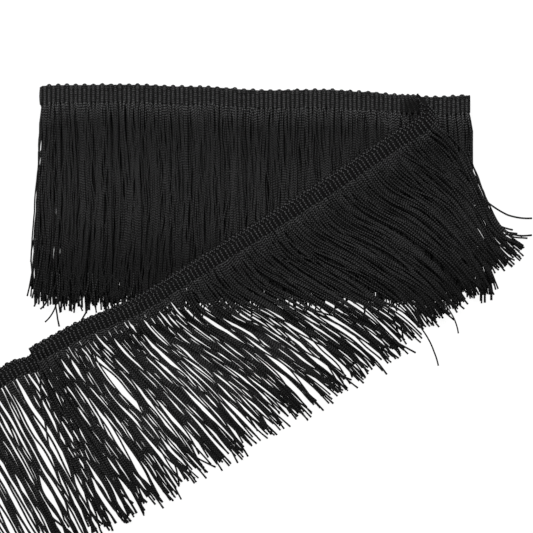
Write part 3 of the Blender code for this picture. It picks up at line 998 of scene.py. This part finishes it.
def makeRibs(heading, finish):             # the raised ribs of the heading's front, with edge loops
    fine = Yarn("heading_ribs", 6)
    coarse = Yarn("heading_ribs_folded", 5)
    loops = Yarn("heading_loops", 5)
    rng = np.random.default_rng(5)
    pitch = trim["ribPitch"]
    count = int(heading.length[-1] / pitch)
    for number in range(count):
        length = (number + 0.5 + rng.uniform(-0.05, 0.05)) * pitch
        edge, across, front = heading.at(length)
        if heading.placeAt(length) == "layer_4":
            front = -front                 # its ribs show on both faces
        shown = shownAt(heading, length)
        steps = gimp["beads"] * 3 + 1 if shown else 5
        t = np.linspace(0.01, 0.99, steps)
        line = edge + across * t[:, None] + front * (tape["half"] + 0.12)
        bead = 1.0 - gimp["beadDepth"] * (1 - np.abs(np.sin(np.pi * gimp["beads"] * t)))
        bead = bead * rng.uniform(0.92, 1.06) * rng.uniform(0.94, 1.04, steps)
        bead[0] = bead[-1] = 0.6
        yarn = fine if shown else coarse
        yarn.add(line, bead, front, gimp["ribTall"], gimp["ribWide"])
        if number % 2 == 0 and heading.placeAt(length) != "fold":
            before = heading.at(length - gimp["loopSpread"] * pitch)
            after = heading.at(length + gimp["loopSpread"] * pitch)
            size = gimp["loopSize"] + gimp["loopUneven"] * rng.uniform(-1, 1)
            makeLoop(loops, before, (edge, across, front), after, size)
    return [yarn.make(finish) for yarn in (fine, coarse, loops)]


def makeLoop(loops, before, middle, after, size):
    outward = -middle[1] / np.linalg.norm(middle[1])
    turns = np.linspace(0, np.pi, 7)
    line = []
    for angle in turns:
        share = (1 - math.cos(angle)) / 2
        base = before[0] * (1 - share) + after[0] * share
        line.append(base + outward * (gimp["loopReach"] * size * math.sin(angle) - 0.4))
    loops.add(np.array(line), gimp["loopRadius"], middle[2])


def makeThreads(heading, finish):          # fine threads that bind the ribs, along the heading
    yarn = Yarn("heading_threads", 3)
    pitch = trim["ribPitch"]
    starts = np.arange(0.0, heading.length[-1], pitch / 4)
    shown = [shownAt(heading, length) for length in starts]
    frames = [heading.at(length) if seen else None for length, seen in zip(starts, shown)]
    for row in range(gimp["beads"]):
        t = (row + 0.02) / gimp["beads"] if row else 0.05
        radius = gimp["threadRadius"] if row > 1 else gimp["edgeRadius"]
        run = []
        fronts = []
        for length, frame in zip(starts, frames):
            if frame is None:
                if len(run) > 3:
                    yarn.add(np.array(run), radius, np.array(fronts))
                run, fronts = [], []
                continue
            edge, across, front = frame
            if heading.placeAt(length) == "layer_4":
                front = -front
            crest = abs(math.sin(math.pi * length / pitch)) ** 0.8
            height = tape["half"] + 0.05 + (0.05 + gimp["ribTall"] * (1 - gimp["beadDepth"])) * crest
            run.append(edge + across * t + front * height)
            fronts.append(front)
        if len(run) > 3:
            yarn.add(np.array(run), radius, np.array(fronts))
    return yarn.make(finish)


def makeBack(heading, finish):             # the crossed rows beside the edge of the heading's back
    yarn = Yarn("heading_back_rows", 5)
    pitch = trim["ribPitch"]
    count = int(heading.length[-1] / pitch)
    for number in range(count):
        length = (number + 0.25) * pitch
        if not shownAt(heading, length) or heading.placeAt(length).startswith("layer"):
            continue
        edge, across, front = heading.at(length)
        here = heading.at(length + 0.5 * pitch)
        later = heading.at(length + pitch)
        for rise, (start, first), (stop, last) in (
            (0.30, ((edge, across), -0.03), ((here[0], here[1]), 0.21)),
            (0.38, ((here[0], here[1]), 0.19), ((edge, across), 0.43)),
            (0.30, ((here[0], here[1]), 0.20), ((later[0], later[1]), 0.0)),
        ):
            t = np.linspace(0, 1, 5)[:, None]
            line = (start[0] + start[1] * first) * (1 - t) + (stop[0] + stop[1] * last) * t
            hump = np.sin(np.pi * t) * 0.25
            line = line - front * (tape["half"] + rise + hump)
            yarn.add(line, 0.46, -front)
    return yarn.make(finish)


cordDetail = {                             # points along each cord
    "cords_layer_1": 20,
    "cords_layer_2": 20,
    "cords_layer_3": 20,
    "cords_layer_4": 32,
    "cords_layer_5": 44,
    "cords_tail": 36,
    "cords_tail_end": 36,
}


def makeCords(cords, stackFinish, tailLitFinish):
    pieces = {}
    for cord in cords:
        name = cord["piece"]
        if name not in pieces:
            pieces[name] = Yarn(name, 5)
        lengths = running(cord["points"])
        steps = cordDetail[name]
        spots = np.linspace(0, lengths[-1], steps)
        line = [np.interp(spots, lengths, cord["points"][:, i]) for i in (0, 1)]
        line.append(np.interp(spots, lengths, cord["heights"]))
        radius = np.full(steps, cord["radius"])
        radius[-1] *= 1.12
        pieces[name].add(np.stack(line, axis=1), radius, begin=cord.get("begin", 0.0))
    made = {}
    for name, yarn in pieces.items():
        made[name] = yarn.make(tailLitFinish if "tail" in name else stackFinish)
    return made


heading = foldHeading()
cords = allCords(heading)
ground = Pile()
layCords(cords, ground, heading)
print(f"cords laid: {len(cords)}, highest {ground.top.max():.1f} mm")

cordYarn = cordFinish("fringe_cord", yarnLook)
bandShadedYarn = bandShadedFinish()
headingYarn = cordFinish("heading_yarn", headingLook)
tailLitYarn = cordFinish("fringe_tail_lit_cord", tailLitLook)

band = makeBand(heading, bandShadedYarn)
ribs = makeRibs(heading, headingYarn)
threads = makeThreads(heading, headingYarn)
back = makeBack(heading, cordYarn)
fringes = makeCords(cords, cordYarn, tailLitYarn)
print("meshes made")

for piece in [band, threads, back] + ribs:
    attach(piece, "root")
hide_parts("heading")
for name, piece in fringes.items():
    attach(piece, "root")
    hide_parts(name.replace("cords", "fringe"))

# Floor, light and camera
view = {
    "centre": (0.02666, 0.04736),
    "across": 0.3838,
    "lens": 85.0,
    "sensor": 36.0,
}


def makeFloor():
    mesh = bpy.data.meshes.new("floor")
    size = 14.0
    corners = [(-size, -size, 0), (size, -size, 0), (size, size, 0), (-size, size, 0)]
    mesh.from_pydata(corners, [], [(0, 1, 2, 3)])
    finish = Finish("floor_white", {
        "Roughness": 0.9,
        "Specular IOR Level": 0.0,
        "Base Color": (0.08, 0.08, 0.08, 1.0),
        "Emission Color": (1.0, 1.0, 1.0, 1.0),
        "Emission Strength": 0.93,
    })
    mesh.materials.append(finish.material)
    floor = bpy.data.objects.new("floor", mesh)
    floor.location.z = -0.0002
    bpy.context.scene.collection.objects.link(floor)


def makeLight(name, place, size, power):
    data = bpy.data.lights.new(name, "AREA")
    data.shape = "DISK"
    data.size = size
    data.energy = power
    light = bpy.data.objects.new(name, data)
    light.location = place
    light.rotation_euler = (Vector((0.02, 0.04, 0.0)) - Vector(place)).to_track_quat("-Z", "Y").to_euler()
    bpy.context.scene.collection.objects.link(light)


makeFloor()
makeLight("soft_left", (-0.6, 0.85, 1.2), 0.9, 26.0)
makeLight("soft_right", (0.65, 0.8, 1.15), 0.9, 15.0)
makeLight("soft_fill", (0.3, -0.9, 1.3), 1.2, 3.0)
world = bpy.data.worlds.new("studio")
world.use_nodes = True
world.node_tree.nodes["Background"].inputs["Color"].default_value = (1.0, 1.0, 1.0, 1.0)
world.node_tree.nodes["Background"].inputs["Strength"].default_value = 0.18
bpy.context.scene.world = world
bpy.context.scene.view_settings.view_transform = "Standard"

camera = bpy.data.cameras.new("camera")
camera.lens = view["lens"]
camera.sensor_width = view["sensor"]
cameraObject = bpy.data.objects.new("camera", camera)
distance = view["across"] * view["lens"] / view["sensor"]
cameraObject.location = (*view["centre"], distance + 0.004)
bpy.context.scene.collection.objects.link(cameraObject)
bpy.context.scene.camera = cameraObject
print("camera and light placed")
